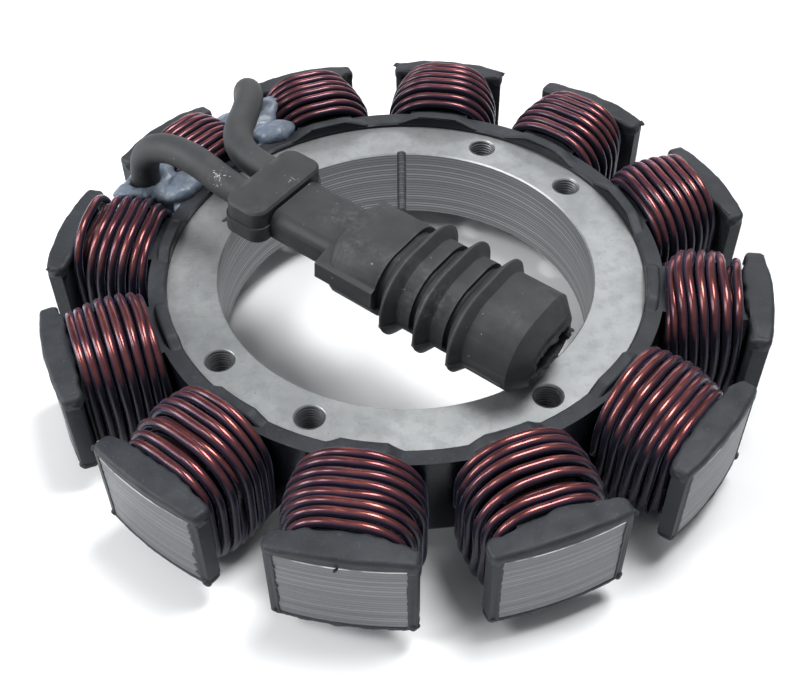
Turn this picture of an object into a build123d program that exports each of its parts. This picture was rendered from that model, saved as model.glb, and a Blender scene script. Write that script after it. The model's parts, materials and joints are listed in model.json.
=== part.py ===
"""Wound stator of a motorcycle alternator: a laminated ring with twelve wound poles, and its moulded plug.

Millimetres. The origin is on the bore axis at mid height of the core, +Z up, out of the face with the plug.
"""

from build123d import *
import math
import os

os.makedirs("parts", exist_ok=True)

# Core stack
sheet_thickness = 0.61
sheet_count = 24
stack_height = sheet_thickness * sheet_count
half_stack = stack_height / 2
bore_radius = 33.2
ring_radius = 44.3
edge_break = 0.25
notch_radius = 0.9
notch_angle = 90.9

# Poles
pole_count = 12
pole_pitch = 360 / pole_count
first_pole = -99.2
pole_width = 9.6
head_radius = 63.5
head_half_angle = 9.0
head_tip_thickness = 1.8
head_root_thickness = 3.6

# Screw holes
bolt_circle = 76.2
hole_radius = 2.4
square_start = 36
pair_start = 66

# Overmould
rim_inner_radius = 42.1
wall_thickness = 1.0
rim_height = 1.0
rim_bevel = 0.5
hump_inner_radius = 42.2
hump_half_width = 5.5
hump_top_half_width = 3.7
hump_height = 2.4
hump_depth = 1.7
cap_half_width = 11.2
cap_depth = 4.5
cap_end_depth = 3.5
cap_crest = 2.3
cap_end_height = 1.5
cap_corner = 1.0
cap_edge_break = 0.6
under_lip = 0.9

# Coils
turn_count = 7
turn_flank_angle = 40
coil_gap = 0.2
coil_half_width = 11.2
coil_half_height = 13.7
coil_corner = 9.8
elbow_chords = 4
ring_end_narrowing = 0.9
head_end_narrowing = 2.3
head_end_lowering = 2.4
sleeve_fit = 0.1

# Crossover wires
wire_diameter = 1.63
wire_sides = 8
crossover_reach = 42.6
crossover_offset = 7.2
crossover_height = -10.4

# Sealant in the two slots where the leads join the winding
sealant_slots = {"sealant_a": 155.8, "sealant_b": 125.8}
sealant_floor = 3.5
sealant_crest = [(0, 6.1), (0.24, 4.4), (0.57, 2.8), (0.86, 3.9)]
sealant_end_slope = 1.6
sealant_gap = 0.15

# Leads
lead_diameter = 5.4
lead_fit = 0.1
lead_a_route = [
    (-48.8, 21.5, 9.0),
    (-48.8, 21.5, 14.0),
    (-46.6, 19.6, 19.0),
    (-42.0, 15.8, 22.2),
    (-36.2, 10.9, 22.9),
    (-30.93, 6.50, 20.96),
    (-26.97, 3.65, 20.57),
]
lead_b_route = [
    (-31.4, 43.8, 9.0),
    (-31.4, 43.8, 13.2),
    (-30.7, 41.2, 17.2),
    (-29.5, 36.2, 18.9),
    (-29.8, 29.2, 19.9),
    (-30.6, 22.2, 20.9),
    (-29.5, 16.2, 21.5),
    (-26.28, 12.27, 20.93),
    (-22.64, 9.65, 20.57),
]

# Plug harness: the middle of the grommet's front face, and the way the plug points
harness_origin = (-19.23, 2.01, 18.8)
harness_heading = -35.8
harness_droop = 4.5

grommet_length = 8.5
grommet_width = 18.5
grommet_height = 6.5
grommet_lift = 1.1
grommet_corner = 2.6
grommet_edge = 0.4
part_line_step = 0.25
lead_socket_depth = 1.2
lead_entries = [(-3.2, 1.2), (4.2, 1.2)]

neck_width = 12.4
neck_height = 6.2
neck_lift = 0.2
neck_corner = 1.9
shoulder_start = 12.1
shoulder_width = 19.2
shoulder_edge_top = 2.3
shoulder_edge_bottom = -0.8
shoulder_crown = 3.75
shoulder_base_width = 13.0
shoulder_base = -3.4
boss_start = 15.2
boss_end = 23.5
boss_width = 18.4
boss_height = 12.8
boss_corner = 6.3
groove_width = 15.8
groove_height = 11.6
groove_corner = 5.7
groove_floor = 0.5
first_fin = 26.3
fin_count = 3
fin_pitch = 6.45
fin_width = 22.2
fin_height = 16.2
fin_corner = 7.9
fin_flare = 1.8
fin_edge = 0.35
fin_front = 1.3
ring_width = 17.7
ring_height = 13.4
ring_corner = 6.6
block_length = 8.0
block_width = 18.6
block_height = 14.0
block_corner = 6.6
nose_length = 2.6
nose_width = 12.4
nose_height = 9.6
nose_corner = 3.6
side_flat = 0.1

mouth_width = 10.8
mouth_height = 5.2
mouth_corner = 2.2
mouth_depth = 1.6
terminal_spacing = 5.6
terminal_radius = 2.0
terminal_fit = 0.1
terminal_bore_radius = 1.25
terminal_length = 5.2

pole_angles = [first_pole + pole_pitch * index for index in range(pole_count)]


def pole_plane(angle, reach=0):
    """A plane across a pole, so far from the axis: local x runs along the rim, y up, z outwards."""
    turn = math.radians(angle)
    out = Vector(math.cos(turn), math.sin(turn), 0)
    return Plane(origin=out * reach, x_dir=(-out.Y, out.X, 0), z_dir=out)


def elbowed_outline(half_width, half_height, corner):
    """The corners of a turn's outline: straight sides, and each elbow drawn as a few chords."""
    points = []
    for quarter, (side, end) in enumerate([(1, 1), (-1, 1), (-1, -1), (1, -1)]):
        centre = Vector(side * (half_width - corner), end * (half_height - corner))
        for chord in range(elbow_chords + 1):
            swing = math.radians(90 * (quarter + chord / elbow_chords))
            points.append(centre + Vector(math.cos(swing), math.sin(swing)) * corner)
    return points


def finish(part, name):
    """Labels a piece and writes it to its own file."""
    part.label = name
    export_step(part, f"parts/{name}.step")


# One pole with its T shaped head, as pressed from the sheet
head_back = head_radius - head_tip_thickness
head_root = head_radius - head_root_thickness
head_half_width = head_radius * math.sin(math.radians(head_half_angle))
with BuildSketch() as pole_shape:
    Circle(head_radius)
    with BuildLine():
        Polyline(
            (ring_radius - wall_thickness, -pole_width / 2),
            (head_root, -pole_width / 2),
            (head_back, -head_half_width),
            (head_radius, -head_half_width),
            (head_radius, head_half_width),
            (head_back, head_half_width),
            (head_root, pole_width / 2),
            (ring_radius - wall_thickness, pole_width / 2),
            close=True,
        )
    make_face(mode=Mode.INTERSECT)

# Core stack: the ring with its poles, bore and six screw holes
with BuildPart() as core_stack:
    with BuildSketch(Plane.XY.offset(-half_stack)):
        Circle(ring_radius)
        with PolarLocations(0, pole_count, start_angle=first_pole):
            add(pole_shape.sketch)
        Circle(bore_radius, mode=Mode.SUBTRACT)
        with PolarLocations(bolt_circle / 2, 4, start_angle=square_start):
            Circle(hole_radius, mode=Mode.SUBTRACT)
        with PolarLocations(bolt_circle / 2, 2, start_angle=pair_start):
            Circle(hole_radius, mode=Mode.SUBTRACT)
    extrude(amount=stack_height)
    rims = core_stack.edges().filter_by(GeomType.CIRCLE).sort_by(Axis.Z)
    chamfer([rim for rim in rims if rim.radius < bore_radius + edge_break], length=edge_break)
    with BuildSketch(Plane.XY.offset(-half_stack)):
        with PolarLocations(bore_radius, 1, start_angle=notch_angle):
            Circle(notch_radius)
    extrude(amount=stack_height, mode=Mode.SUBTRACT)
finish(core_stack.part, "core_stack")

# One hump of the rim: its inner wall rises in front of each coil, between slanted shoulders
rim_radius = ring_radius + wall_thickness
with BuildPart() as hump:
    with BuildSketch(pole_plane(0, hump_inner_radius - hump_depth / 2)):
        with BuildLine():
            Polyline(
                (-hump_half_width, 0),
                (hump_half_width, 0),
                (hump_half_width, half_stack + rim_height),
                (hump_top_half_width, half_stack + hump_height),
                (-hump_top_half_width, half_stack + hump_height),
                (-hump_half_width, half_stack + rim_height),
                close=True,
            )
        make_face()
    extrude(amount=2 * hump_depth)
    with BuildSketch():
        Circle(hump_inner_radius + hump_depth)
        Circle(hump_inner_radius, mode=Mode.SUBTRACT)
    extrude(amount=half_stack + hump_height, mode=Mode.INTERSECT)

# One head cover: the crowned cap, the side strips and the thin lip under the steel face
with BuildPart() as head_cover:
    with BuildSketch(pole_plane(0, head_radius - cap_depth)) as cap_front:
        with BuildLine():
            Polyline(
                (-cap_half_width, half_stack + cap_end_height),
                (-cap_half_width, -half_stack - under_lip),
                (cap_half_width, -half_stack - under_lip),
                (cap_half_width, half_stack + cap_end_height),
            )
            ThreePointArc(
                (cap_half_width, half_stack + cap_end_height),
                (0, half_stack + cap_crest),
                (-cap_half_width, half_stack + cap_end_height),
            )
        make_face()
        chamfer(cap_front.vertices().group_by(Axis.Z)[-1], cap_corner)
    extrude(amount=2 * cap_depth)
    with BuildSketch(Plane.XY.offset(-half_stack - under_lip)):
        Circle(head_radius)
        with BuildLine():
            Polyline(
                (head_radius - cap_end_depth, -cap_half_width),
                (head_radius + cap_depth, -cap_half_width),
                (head_radius + cap_depth, cap_half_width),
                (head_radius - cap_end_depth, cap_half_width),
            )
            ThreePointArc(
                (head_radius - cap_end_depth, cap_half_width),
                (head_radius - cap_depth, 0),
                (head_radius - cap_end_depth, -cap_half_width),
            )
        make_face(mode=Mode.INTERSECT)
    extrude(amount=stack_height + under_lip + cap_crest, mode=Mode.INTERSECT)
    upper = [edge for edge in head_cover.edges() if edge.center().Z > half_stack + cap_end_height / 2]
    chamfer([edge for edge in upper if edge.center().X > head_radius - cap_end_depth / 2], cap_edge_break)

# One pole's covering: the bobbin sleeve with its humps and head cover
sleeve_half_width = pole_width / 2 + wall_thickness
sleeve_half_height = half_stack + wall_thickness
sleeve_start = hump_inner_radius + hump_depth / 2
with BuildPart() as pole_cover:
    with BuildSketch(pole_plane(0, sleeve_start)):
        Rectangle(2 * sleeve_half_width, 2 * sleeve_half_height)
    extrude(amount=head_root - sleeve_start)
    add(hump.part)
    add(hump.part.mirror(Plane.XY))
    add(head_cover.part)

# Overmould: rim, slot walls and pole coverings in one moulding around the steel
with BuildPart() as overmould:
    with BuildSketch(Plane.XY.offset(-half_stack - rim_height)):
        Circle(rim_radius)
        Circle(rim_inner_radius, mode=Mode.SUBTRACT)
    extrude(amount=stack_height + 2 * rim_height)
    circles = overmould.edges().filter_by(GeomType.CIRCLE)
    chamfer([edge for edge in circles if edge.radius < rim_radius], length=rim_bevel)
    with PolarLocations(0, pole_count, start_angle=first_pole):
        add(pole_cover.part)
    add(core_stack.part, mode=Mode.SUBTRACT)
finish(overmould.part, "overmould")

# One coil: a ridge for each turn, narrower beside the ring and lower under the cap
coil_start = rim_radius + coil_gap
coil_length = head_radius - cap_depth - coil_gap - coil_start
turn_pitch = coil_length / turn_count
with BuildPart() as coil:
    for turn in range(turn_count):
        share = turn / (turn_count - 1)
        near_ring = max(0, 1 - 3 * share)
        near_head = max(0, 3 * share - 2) ** 1.5
        half_width = coil_half_width - ring_end_narrowing * near_ring - head_end_narrowing * near_head
        half_height = coil_half_height - head_end_lowering * near_head
        with BuildSketch(pole_plane(0, coil_start + (turn + 0.5) * turn_pitch)):
            corner = coil_corner - head_end_narrowing * near_head
            Polygon(*elbowed_outline(half_width, half_height, corner), align=None)
        extrude(amount=turn_pitch / 2, both=True, taper=turn_flank_angle)
    with BuildSketch(pole_plane(0, coil_start)):
        Rectangle(2 * (sleeve_half_width + sleeve_fit), 2 * (sleeve_half_height + sleeve_fit))
    extrude(amount=coil_length, mode=Mode.SUBTRACT)

for index, angle in enumerate(pole_angles):
    with BuildPart() as placed_coil:
        add(coil.part.rotate(Axis.Z, angle))
    finish(placed_coil.part, f"coil_{index + 1:02d}")

# Crossover wires: under the rim, from each coil's inner face to the next one's
with BuildPart() as crossover:
    with BuildLine() as crossover_path:
        coil_faces = [pole_plane(-pole_pitch / 2, coil_start), pole_plane(pole_pitch / 2, coil_start)]
        depth = coil_start - crossover_reach
        Polyline(
            coil_faces[0].from_local_coords(Vector(crossover_offset, crossover_height, 0)),
            coil_faces[0].from_local_coords(Vector(crossover_offset, crossover_height, -depth)),
            coil_faces[1].from_local_coords(Vector(-crossover_offset, crossover_height, -depth)),
            coil_faces[1].from_local_coords(Vector(-crossover_offset, crossover_height, 0)),
        )
    with BuildSketch(Plane(origin=crossover_path.line @ 0, z_dir=crossover_path.line % 0)):
        RegularPolygon(wire_diameter / 2, wire_sides)
    sweep(path=crossover_path.line, transition=Transition.RIGHT)
plain_slots = [
    angle + pole_pitch / 2
    for angle in pole_angles
    if all(abs(angle + pole_pitch / 2 - slot) > pole_pitch / 2 for slot in sealant_slots.values())
]
with BuildPart() as crossover_wires:
    for angle in plain_slots:
        add(crossover.part.rotate(Axis.Z, angle))
finish(crossover_wires.part, "crossover_wires")

# Sealant: fills the valley between two coils and takes the end of a lead. Each crest point is a share of
# the coil's length and a drop below its top.
with BuildPart() as coil_room:
    with BuildSketch(pole_plane(0, rim_radius - sealant_gap)):
        room_width = 2 * (coil_half_width + sealant_gap)
        room_height = 2 * (coil_half_height + sealant_gap)
        RectangleRounded(room_width, room_height, coil_corner + sealant_gap)
    extrude(amount=coil_length + sealant_end_slope)
lead_starts = {"sealant_a": lead_a_route[0], "sealant_b": lead_b_route[0]}
for name, slot in sealant_slots.items():
    turn = math.radians(slot)
    outwards = (math.cos(turn), math.sin(turn), 0)
    sideways = (math.sin(turn), -math.cos(turn), 0)
    inner_end = rim_radius + sealant_gap
    crest = [(inner_end + share * coil_length, coil_half_height - drop) for share, drop in sealant_crest]
    with BuildPart() as sealant:
        with BuildSketch(Plane(origin=(0, 0, 0), x_dir=outwards, z_dir=sideways)):
            with BuildLine():
                Spline(*crest)
                Polyline(
                    crest[-1],
                    (crest[-1][0] + sealant_end_slope, sealant_floor),
                    (crest[0][0], sealant_floor),
                    crest[0],
                )
            make_face()
        extrude(amount=coil_half_width / 2, both=True)
        add(coil_room.part.rotate(Axis.Z, slot - pole_pitch / 2), mode=Mode.SUBTRACT)
        add(coil_room.part.rotate(Axis.Z, slot + pole_pitch / 2), mode=Mode.SUBTRACT)
        with BuildSketch(Plane(origin=lead_starts[name])):
            Circle(lead_diameter / 2 + lead_fit)
        extrude(amount=coil_half_height, mode=Mode.SUBTRACT)
    finish(sealant.part, name)


def corner_radii(route):
    """The largest bend that the two runs beside each corner of a route allow."""
    points = [Vector(*point) for point in route]
    radii = []
    for before, corner, after in zip(points, points[1:], points[2:]):
        bend = (corner - before).get_angle(after - corner)
        shorter = min((corner - before).length, (after - corner).length)
        radii.append(0.45 * shorter / math.tan(math.radians(bend) / 2))
    return radii


# Leads: two heavy cables from the sealant up and over into the back of the grommet
for name, route in {"lead_a": lead_a_route, "lead_b": lead_b_route}.items():
    radii = corner_radii(route)
    with BuildPart() as lead:
        with BuildLine() as lead_path:
            FilletPolyline(*route, radius=radii)
        with BuildSketch(Plane(origin=lead_path.line @ 0, z_dir=lead_path.line % 0)):
            Circle(lead_diameter / 2)
        sweep(path=lead_path.line)
    finish(lead.part, name)
    length = lead_path.wire().length
    filled = math.pi * lead_diameter**2 / 4 * length
    print(name, "length", round(length, 2), "radii", [round(radius, 1) for radius in radii])
    print(name, "volume", round(lead.part.volume, 1), "section times length", round(filled, 1))


def rounded(width, height, corner):
    """A section's width, height and corner radius, with a flat left on each side."""
    return width, height, min(corner, (min(width, height) - side_flat) / 2)


# Plug harness: local x runs across the plug, y up through it and z the way it points
heading = math.radians(harness_heading)
droop = math.radians(harness_droop)
plug_across = Vector(-math.sin(heading), math.cos(heading), 0)
plug_axis = Vector(
    math.cos(heading) * math.cos(droop), math.sin(heading) * math.cos(droop), -math.sin(droop)
)
harness = Plane(origin=harness_origin, x_dir=plug_across, z_dir=plug_axis)

# Grommet: a block with rounded corners, moulded in two halves that don't quite match
with BuildPart() as grommet:
    centre = harness.from_local_coords(Vector(0, grommet_lift, -grommet_length / 2))
    plan = Plane(origin=centre, x_dir=plug_axis, z_dir=plug_axis.cross(plug_across))
    with BuildSketch(plan):
        upper_length = grommet_length - 2 * part_line_step
        upper_width = grommet_width - 2 * part_line_step
        RectangleRounded(upper_length, upper_width, grommet_corner)
    extrude(amount=grommet_height / 2)
    chamfer(grommet.faces().sort_by(Axis.Z)[-1].edges(), grommet_edge)
    with BuildSketch(plan):
        RectangleRounded(grommet_length, grommet_width, grommet_corner)
    extrude(amount=-grommet_height / 2)
    chamfer(grommet.faces().sort_by(Axis.Z)[0].edges(), grommet_edge)
    with BuildSketch(harness.offset(-grommet_length)):
        with Locations(*lead_entries):
            Circle(lead_diameter / 2 + lead_fit)
    extrude(amount=lead_socket_depth, mode=Mode.SUBTRACT)
finish(grommet.part, "grommet")

# Plug body: neck, shoulder, boss, three sealing fins with rings between them, and the end block
groove = rounded(groove_width, groove_height, groove_corner)
fin = rounded(fin_width, fin_height, fin_corner)
ring = rounded(ring_width, ring_height, ring_corner)
block = rounded(block_width, block_height, block_corner)
nose = rounded(nose_width, nose_height, nose_corner)
spans = [(boss_end, groove, first_fin - fin_flare, groove)]
for index in range(fin_count):
    edge = first_fin + index * fin_pitch
    behind = edge + fin_edge + fin_front
    follower = block if index == fin_count - 1 else ring
    spans.append((edge - fin_flare, groove, edge, fin))
    spans.append((edge, fin, edge + fin_edge, fin))
    spans.append((edge + fin_edge, fin, behind, follower))
    if index < fin_count - 1:
        flare = edge + fin_pitch - fin_flare
        spans.append((behind, ring, flare - groove_floor, ring))
        spans.append((flare - groove_floor, groove, flare, groove))
spans.append((behind, block, behind + block_length, block))
tip = behind + block_length + nose_length
spans.append((behind + block_length, block, tip, nose))
with BuildPart() as plug_body:
    with BuildSketch(harness):
        with Locations((0, neck_lift)):
            RectangleRounded(*rounded(neck_width, neck_height, neck_corner))
    extrude(amount=shoulder_start + 1)
    with BuildSketch(harness.offset(shoulder_start)):
        with BuildLine():
            Polyline(
                (-shoulder_width / 2, shoulder_edge_top),
                (-shoulder_width / 2, shoulder_edge_bottom),
                (-shoulder_base_width / 2, shoulder_base),
                (shoulder_base_width / 2, shoulder_base),
                (shoulder_width / 2, shoulder_edge_bottom),
                (shoulder_width / 2, shoulder_edge_top),
            )
            ThreePointArc(
                (shoulder_width / 2, shoulder_edge_top),
                (0, shoulder_crown),
                (-shoulder_width / 2, shoulder_edge_top),
            )
        make_face()
    extrude(amount=boss_end - shoulder_start)
    with BuildSketch(harness.offset(boss_end)):
        RectangleRounded(*rounded(boss_width, boss_height, boss_corner))
    extrude(amount=boss_start - boss_end)
    for start, first, end, last in spans:
        with BuildSketch(harness.offset(start)):
            RectangleRounded(*first)
        with BuildSketch(harness.offset(end)):
            RectangleRounded(*last)
        loft(ruled=True)
    with BuildSketch(harness.offset(tip)):
        RectangleRounded(*rounded(mouth_width, mouth_height, mouth_corner))
    extrude(amount=-mouth_depth, mode=Mode.SUBTRACT)
    with BuildSketch(harness.offset(tip)):
        with Locations((-terminal_spacing / 2, 0), (terminal_spacing / 2, 0)):
            Circle(terminal_radius + terminal_fit)
    extrude(amount=-mouth_depth - terminal_length, mode=Mode.SUBTRACT)
finish(plug_body.part, "plug_body")

# Terminals: two round sockets at the bottom of the plug's mouth
for name, side in {"terminal_a": -1, "terminal_b": 1}.items():
    with BuildPart() as terminal:
        with BuildSketch(harness.offset(tip - mouth_depth - terminal_length)):
            with Locations((side * terminal_spacing / 2, 0)):
                Circle(terminal_radius)
                Circle(terminal_bore_radius, mode=Mode.SUBTRACT)
        extrude(amount=terminal_length)
    finish(terminal.part, name)
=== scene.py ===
"""Looks of the wound stator: camera, cords, wires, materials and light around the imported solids."""

import json
import math
import random
from functools import partial

import bmesh
import bpy
from mathutils import Matrix, Vector, noise


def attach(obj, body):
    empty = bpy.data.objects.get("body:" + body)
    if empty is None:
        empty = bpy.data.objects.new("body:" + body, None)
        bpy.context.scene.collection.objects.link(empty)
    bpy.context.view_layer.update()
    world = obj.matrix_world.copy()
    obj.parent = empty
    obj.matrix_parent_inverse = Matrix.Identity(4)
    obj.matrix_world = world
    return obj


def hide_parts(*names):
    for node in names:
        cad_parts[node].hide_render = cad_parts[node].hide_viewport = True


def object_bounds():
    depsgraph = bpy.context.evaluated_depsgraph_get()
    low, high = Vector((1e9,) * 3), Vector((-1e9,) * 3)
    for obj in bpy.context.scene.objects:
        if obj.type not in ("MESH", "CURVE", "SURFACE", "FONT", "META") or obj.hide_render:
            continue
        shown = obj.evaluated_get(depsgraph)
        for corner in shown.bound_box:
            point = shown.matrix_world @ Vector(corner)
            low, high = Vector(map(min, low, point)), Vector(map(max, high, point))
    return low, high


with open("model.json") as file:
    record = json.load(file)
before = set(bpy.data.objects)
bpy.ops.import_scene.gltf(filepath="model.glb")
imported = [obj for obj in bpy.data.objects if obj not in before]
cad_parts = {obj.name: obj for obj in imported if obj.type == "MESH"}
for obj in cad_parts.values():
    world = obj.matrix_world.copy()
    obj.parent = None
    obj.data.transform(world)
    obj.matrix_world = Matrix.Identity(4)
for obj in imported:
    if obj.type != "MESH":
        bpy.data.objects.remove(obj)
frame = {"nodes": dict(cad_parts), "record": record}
cad_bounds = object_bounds()
nodes = frame["nodes"]
scene = bpy.context.scene
MM = 0.001


def new_object(name, data):
    """An object in the scene that shows some data."""
    made = bpy.data.objects.new(name, data)
    scene.collection.objects.link(made)
    return made


# Sizes of the part that several sections share, in millimetres and degrees.
FIRST_POLE = -99.2
POLE_PITCH = 30.0
HALF_STACK = 7.32
SHEET = 0.61
HEAD_RADIUS = 63.5
HEAD_HALF_WIDTH = 9.93
CAP_HALF_WIDTH = 11.2


# -------------------- camera
CAMERA_EYE = (-1.148, -153.244, 146.737)
CAMERA_ELEVATION = math.radians(45.85)
CAMERA_ROLL = math.radians(-0.54)
FOCAL_PIXELS = 1162.3
FRAME_WIDTH = 800
SENSOR_WIDTH = 36
CLIP_START = 0.01

level = Vector((1, 0, 0))
tilted = Vector((0, math.sin(CAMERA_ELEVATION), math.cos(CAMERA_ELEVATION)))
forward = Vector((0, math.cos(CAMERA_ELEVATION), -math.sin(CAMERA_ELEVATION)))
camera_x = level * math.cos(CAMERA_ROLL) + tilted * math.sin(CAMERA_ROLL)
camera_y = tilted * math.cos(CAMERA_ROLL) - level * math.sin(CAMERA_ROLL)
camera_data = bpy.data.cameras.new("camera")
camera_data.sensor_width = SENSOR_WIDTH
camera_data.lens = FOCAL_PIXELS * SENSOR_WIDTH / FRAME_WIDTH
camera_data.clip_start = CLIP_START
camera = new_object("camera", camera_data)
camera_turn = Matrix((camera_x, camera_y, -forward)).transposed().to_4x4()
camera.matrix_world = Matrix.Translation(Vector(CAMERA_EYE) * MM) @ camera_turn
scene.camera = camera


# -------------------- node materials
class Shader:
    """A small helper that builds one Principled material from named nodes."""

    def __init__(self, name):
        self.material = bpy.data.materials.new(name)
        self.material.use_nodes = True
        self.tree = self.material.node_tree
        self.tree.nodes.clear()
        output = self.tree.nodes.new("ShaderNodeOutputMaterial")
        self.surface = self.tree.nodes.new("ShaderNodeBsdfPrincipled")
        self.tree.links.new(self.surface.outputs[0], output.inputs["Surface"])
        self.position = self.tree.nodes.new("ShaderNodeTexCoord").outputs["Object"]

    def node(self, kind, inputs=None, **settings):
        """A new node with its settings, and with values or other nodes' outputs on its inputs."""
        made = self.tree.nodes.new("ShaderNode" + kind)
        for key, value in settings.items():
            setattr(made, key, value)
        for key, value in (inputs or {}).items():
            self.feed(made.inputs[key], value)
        return made

    def feed(self, socket, value):
        """Puts a value or another node's output on a socket."""
        if isinstance(value, bpy.types.NodeSocket):
            self.tree.links.new(value, socket)
        else:
            socket.default_value = value

    def set(self, **values):
        for key, value in values.items():
            self.feed(self.surface.inputs[key.replace("_", " ")], value)

    def noise(self, scale, detail, rough, distortion=0.0, stretch=None):
        """Noise from 0 to 1 in the object's own space."""
        place = self.position
        if stretch:
            place = self.node("Mapping", {"Vector": place, "Scale": stretch}).outputs[0]
        inputs = {"Vector": place, "Scale": scale, "Detail": detail, "Roughness": rough, "Distortion": distortion}
        return self.node("TexNoise", inputs).outputs["Fac"]

    def ramp(self, value, *stops):
        """A value turned into greys or colours, by stops of a place and a grey or colour."""
        made = self.node("ValToRGB", {"Fac": value})
        elements = made.color_ramp.elements
        while len(elements) < len(stops):
            elements.new(0.5)
        for element, (place, colour) in zip(elements, stops):
            element.position = place
            shade = (colour,) * 3 if isinstance(colour, (int, float)) else colour
            element.color = (*shade, 1)
        return made.outputs["Color"]

    def mix(self, share, first, second):
        """Two colours mixed by a share of the second."""
        made = self.node("Mix", data_type="RGBA")
        self.feed(made.inputs[0], share)
        for socket, value in ((made.inputs[6], first), (made.inputs[7], second)):
            self.feed(socket, (*value, 1) if isinstance(value, tuple) else value)
        return made.outputs[2]

    def math(self, operation, first, second=0.0, third=0.0, clamp=False):
        made = self.node("Math", operation=operation, use_clamp=clamp)
        for socket, value in zip(made.inputs, (first, second, third)):
            self.feed(socket, value)
        return made.outputs[0]

    def times(self, first, second):
        return self.math("MULTIPLY", first, second)

    def times_plus(self, first, second, third):
        return self.math("MULTIPLY_ADD", first, second, third)

    def cover(self, base, colour, share, strength):
        """A colour laid over another where share is high, at most by strength."""
        return self.mix(self.times(share, strength), base, colour)

    def bump(self, height, strength, distance):
        """Relief of the surface without a change of its mesh."""
        made = self.node("Bump", {"Height": height, "Strength": strength, "Distance": distance})
        self.feed(self.surface.inputs["Normal"], made.outputs[0])

    def upward(self, vector):
        return self.node("SeparateXYZ", {"Vector": vector}).outputs["Z"]

    def reach(self):
        """How far a point lies from the bore's axis, in decimetres."""
        flat = self.node("Mapping", {"Vector": self.position, "Scale": (10, 10, 0)}).outputs[0]
        return self.node("VectorMath", {0: flat}, operation="LENGTH").outputs["Value"]


def steel_material():
    """Rolled sheet: pale satin faces with blotches and pits, and fine sheet edges on upright walls."""
    s = Shader("lamination_steel")
    height = s.upward(s.position)
    facing = s.upward(s.node("NewGeometry").outputs["Normal"])
    upright = s.math("SUBTRACT", 1.0, s.math("ABSOLUTE", facing), clamp=True)
    upright = s.ramp(upright, (0.35, 0.0), (0.7, 1.0))

    fine = s.noise(1500, 2, 0.6)
    face = s.ramp(s.noise(90, 4, 0.6), (0.3, (0.290, 0.300, 0.305)), (0.7, (0.465, 0.475, 0.48)))
    face = s.cover(face, (0.29, 0.305, 0.31), s.noise(28, 3, 0.5), 0.45)
    stains = s.ramp(s.noise(380, 5, 0.75), (0.47, 0.0), (0.62, 1.0))
    face = s.cover(face, (0.23, 0.24, 0.245), stains, 0.38)
    pits = s.ramp(s.noise(1900, 1, 0.5), (0.215, 1.0), (0.265, 0.0))
    face = s.cover(face, (0.08, 0.08, 0.08), pits, 0.45)

    # Upright walls: each sheet has its own grey and a dark line to the next one, both softer on the ground poles.
    phase = s.math("DIVIDE", s.math("ADD", height, HALF_STACK * MM), SHEET * MM)
    line = s.ramp(s.math("FRACT", phase), (0.0, 1.0), (0.34, 0.9), (0.44, 0.0))
    sheet = s.node("TexWhiteNoise", {"W": s.math("FLOOR", phase)}, noise_dimensions="1D").outputs["Value"]
    edge = s.ramp(sheet, (0.0, (0.165, 0.173, 0.18)), (0.6, (0.22, 0.228, 0.235)), (1.0, (0.33, 0.338, 0.345)))
    edge = s.cover(edge, (0.30, 0.31, 0.32), s.noise(60, 3, 0.6, stretch=(1, 1, 30)), 0.35)
    ground = s.ramp(s.reach(), (0.45, 0.0), (0.55, 0.45))
    edge = s.mix(ground, edge, (0.105, 0.112, 0.118))
    seam = s.times(s.times_plus(sheet, 0.36, 0.36), s.math("SUBTRACT", 1.0, ground))
    edge = s.cover(edge, (0.045, 0.045, 0.05), line, seam)
    # Painted highlight: the top sheet of the upright walls is paler in patches, a light line along the bore's top
    # edge.
    pale_edge_patches = s.times(s.ramp(s.noise(120, 3, 0.6), (0.42, 0.0), (0.55, 1.0)), 0.9)
    top_sheet = s.ramp(s.times(height, 100), (0.7, 0.0), (0.706, 1.0))
    edge = s.cover(edge, (0.66, 0.67, 0.67), top_sheet, pale_edge_patches)

    s.set(Base_Color=s.mix(upright, face, edge), Metallic=0.8)
    s.set(Roughness=s.math("ADD", s.times_plus(fine, 0.14, 0.38), s.times(upright, 0.04)))
    grooves = s.times(s.times(line, upright), -1.0)
    relief = s.math("ADD", grooves, s.times(fine, 0.12))
    s.bump(s.math("ADD", relief, s.times(pits, -0.35)), 0.5, 0.00006)
    return s.material


def resin_material():
    """Black moulded resin: satin with a soft mottle; painted shade and more gloss on the upright slot walls near
    the bore.
    """
    s = Shader("overmould_plastic")
    mottle = s.noise(160, 4, 0.6)
    fine = s.noise(1800, 3, 0.6)
    base = s.ramp(mottle, (0.3, (0.018, 0.020, 0.024)), (0.75, (0.034, 0.037, 0.043)))
    scuff = s.ramp(s.noise(420, 5, 0.7), (0.60, 0.0), (0.72, 1.0))
    base = s.cover(base, (0.07, 0.075, 0.08), scuff, 0.30)
    dust = s.ramp(s.noise(2600, 2, 0.5), (0.64, 0.0), (0.72, 1.0))
    base = s.cover(base, (0.10, 0.105, 0.11), dust, 0.30)
    facing = s.upward(s.node("NewGeometry").outputs["Normal"])
    upright = s.ramp(s.math("ABSOLUTE", facing), (0.35, 1.0), (0.6, 0.0))
    # Painted shade: upright walls near the bore, in the slots, are darker; they are also glossier.
    slot_shade_and_gloss = s.times(s.ramp(s.reach(), (0.585, 1.0), (0.60, 0.0)), upright)
    s.set(Base_Color=s.mix(slot_shade_and_gloss, base, (0.005, 0.006, 0.009)), Specular_IOR_Level=0.24)
    rough = s.times_plus(mottle, 0.22, 0.42)
    s.set(Roughness=s.times(rough, s.times_plus(slot_shade_and_gloss, -0.55, 1.0)))
    s.bump(s.times_plus(mottle, 0.8, s.times(fine, 0.25)), 0.4, 0.00012)
    return s.material


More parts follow.
